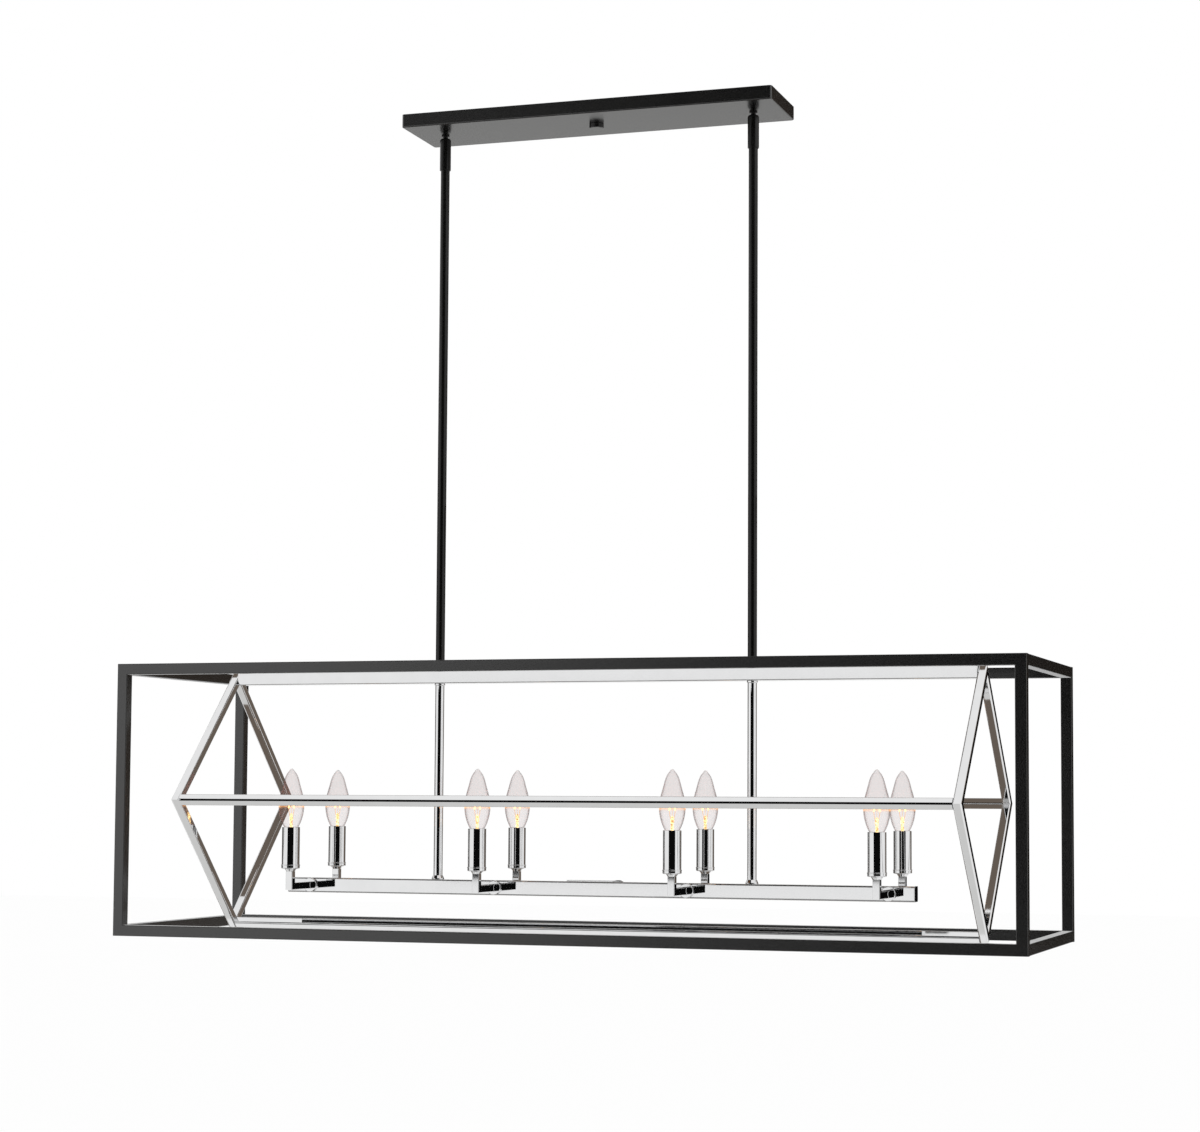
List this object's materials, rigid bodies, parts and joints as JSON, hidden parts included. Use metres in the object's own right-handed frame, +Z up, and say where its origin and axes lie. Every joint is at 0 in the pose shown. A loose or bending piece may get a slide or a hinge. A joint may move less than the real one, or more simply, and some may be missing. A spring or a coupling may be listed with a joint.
{
  "type": "linear island pendant",
  "caption": "Long black box cage hung by two stems from a flat canopy, with a chrome diamond frame inside and candle lights on a low chrome bar.",
  "frame": {"origin": "centre of the canopy's mounting plane, where the light meets the ceiling", "axes": "+Z up into the ceiling, +X along the light, front at -Y"},
  "size_m": [1.27, 0.376, 1.157],
  "materials": {
    "satin_black": "satin black powder coat",
    "chrome": "polished chrome plate",
    "zinc_steel": "zinc plated",
    "brass": "plain brass",
    "bulb_cap_metal": "rolled brass screw cap",
    "clear_glass": "clear",
    "phenolic": "moulded black",
    "glass_sleeving": "woven glass fibre sleeving",
    "lead_insulation": "smooth",
    "wire_nut_plastic": "moulded",
    "bare_copper": "bare copper",
    "green_steel": "green zinc"
  },
  "bodies": {
    "canopy": {"ceiling_bar": "zinc_steel", "canopy_shell": "satin_black", "centre_stud": "zinc_steel", "stud_lock_nut": "zinc_steel", "swivel_studs": "satin_black", "swivel_washers": "zinc_steel", "swivel_nuts": "zinc_steel", "supply_leads": "lead_insulation", "wire_nuts": "wire_nut_plastic", "ground_lead": "bare_copper", "ground_screw": "green_steel"},
    "thumb_nut": {"thumb_nut": "satin_black"},
    "hanger": {"swivel_sleeves": "satin_black", "swivel_set_screws": "satin_black", "upper_stems": "satin_black", "stem_nipples": "zinc_steel", "cross_straps": "satin_black", "cage_long_rails": "satin_black", "cage_posts": "satin_black", "cage_end_rails": "satin_black", "diamond_struts": "chrome", "diamond_rails": "chrome", "top_rail": "chrome", "top_rail_caps": "chrome", "stem_rings": "chrome", "lower_stems": "chrome", "stem_feet": "chrome", "bar_nipples": "zinc_steel", "bar_lock_nuts": "zinc_steel", "light_bar": "chrome", "bar_end_caps": "chrome", "access_plate": "chrome", "plate_screw": "satin_black", "arm_spigots": "chrome", "arm_risers": "chrome", "arm_collars": "chrome", "candle_cups": "chrome", "sleeve_rings": "chrome", "cup_nipples": "zinc_steel", "candle_sleeves": "chrome", "lampholders": "phenolic", "socket_shells": "brass", "socket_contacts": "brass", "wiring_harness": "glass_sleeving"},
    "bulb_1": {"bulb_1_glass": "clear_glass", "bulb_1_base": "bulb_cap_metal"},
    "bulb_2": {"bulb_2_glass": "clear_glass", "bulb_2_base": "bulb_cap_metal"},
    "bulb_3": {"bulb_3_glass": "clear_glass", "bulb_3_base": "bulb_cap_metal"},
    "bulb_4": {"bulb_4_glass": "clear_glass", "bulb_4_base": "bulb_cap_metal"},
    "bulb_5": {"bulb_5_glass": "clear_glass", "bulb_5_base": "bulb_cap_metal"},
    "bulb_6": {"bulb_6_glass": "clear_glass", "bulb_6_base": "bulb_cap_metal"},
    "bulb_7": {"bulb_7_glass": "clear_glass", "bulb_7_base": "bulb_cap_metal"},
    "bulb_8": {"bulb_8_glass": "clear_glass", "bulb_8_base": "bulb_cap_metal"}
  },
  "joints": [
    {"name": "thumb_nut_turn", "type": "hinge", "parent": "canopy", "child": "thumb_nut", "pos_m": [0, 0, -0.0223], "axis": [0, 0, 1], "continuous": true},
    {"name": "hanger_swing", "type": "hinge", "parent": "canopy", "child": "hanger", "pos_m": [0, 0, -0.0297], "axis": [1, 0, 0], "range_deg": [-15, 15]},
    {"name": "bulb_1_lift", "type": "slide", "parent": "hanger", "child": "bulb_1", "axis": [0, 0, 1], "range_m": [0, 0.03]},
    {"name": "bulb_2_lift", "type": "slide", "parent": "hanger", "child": "bulb_2", "axis": [0, 0, 1], "range_m": [0, 0.03]},
    {"name": "bulb_3_lift", "type": "slide", "parent": "hanger", "child": "bulb_3", "axis": [0, 0, 1], "range_m": [0, 0.03]},
    {"name": "bulb_4_lift", "type": "slide", "parent": "hanger", "child": "bulb_4", "axis": [0, 0, 1], "range_m": [0, 0.03]},
    {"name": "bulb_5_lift", "type": "slide", "parent": "hanger", "child": "bulb_5", "axis": [0, 0, 1], "range_m": [0, 0.03]},
    {"name": "bulb_6_lift", "type": "slide", "parent": "hanger", "child": "bulb_6", "axis": [0, 0, 1], "range_m": [0, 0.03]},
    {"name": "bulb_7_lift", "type": "slide", "parent": "hanger", "child": "bulb_7", "axis": [0, 0, 1], "range_m": [0, 0.03]},
    {"name": "bulb_8_lift", "type": "slide", "parent": "hanger", "child": "bulb_8", "axis": [0, 0, 1], "range_m": [0, 0.03]}
  ]
}
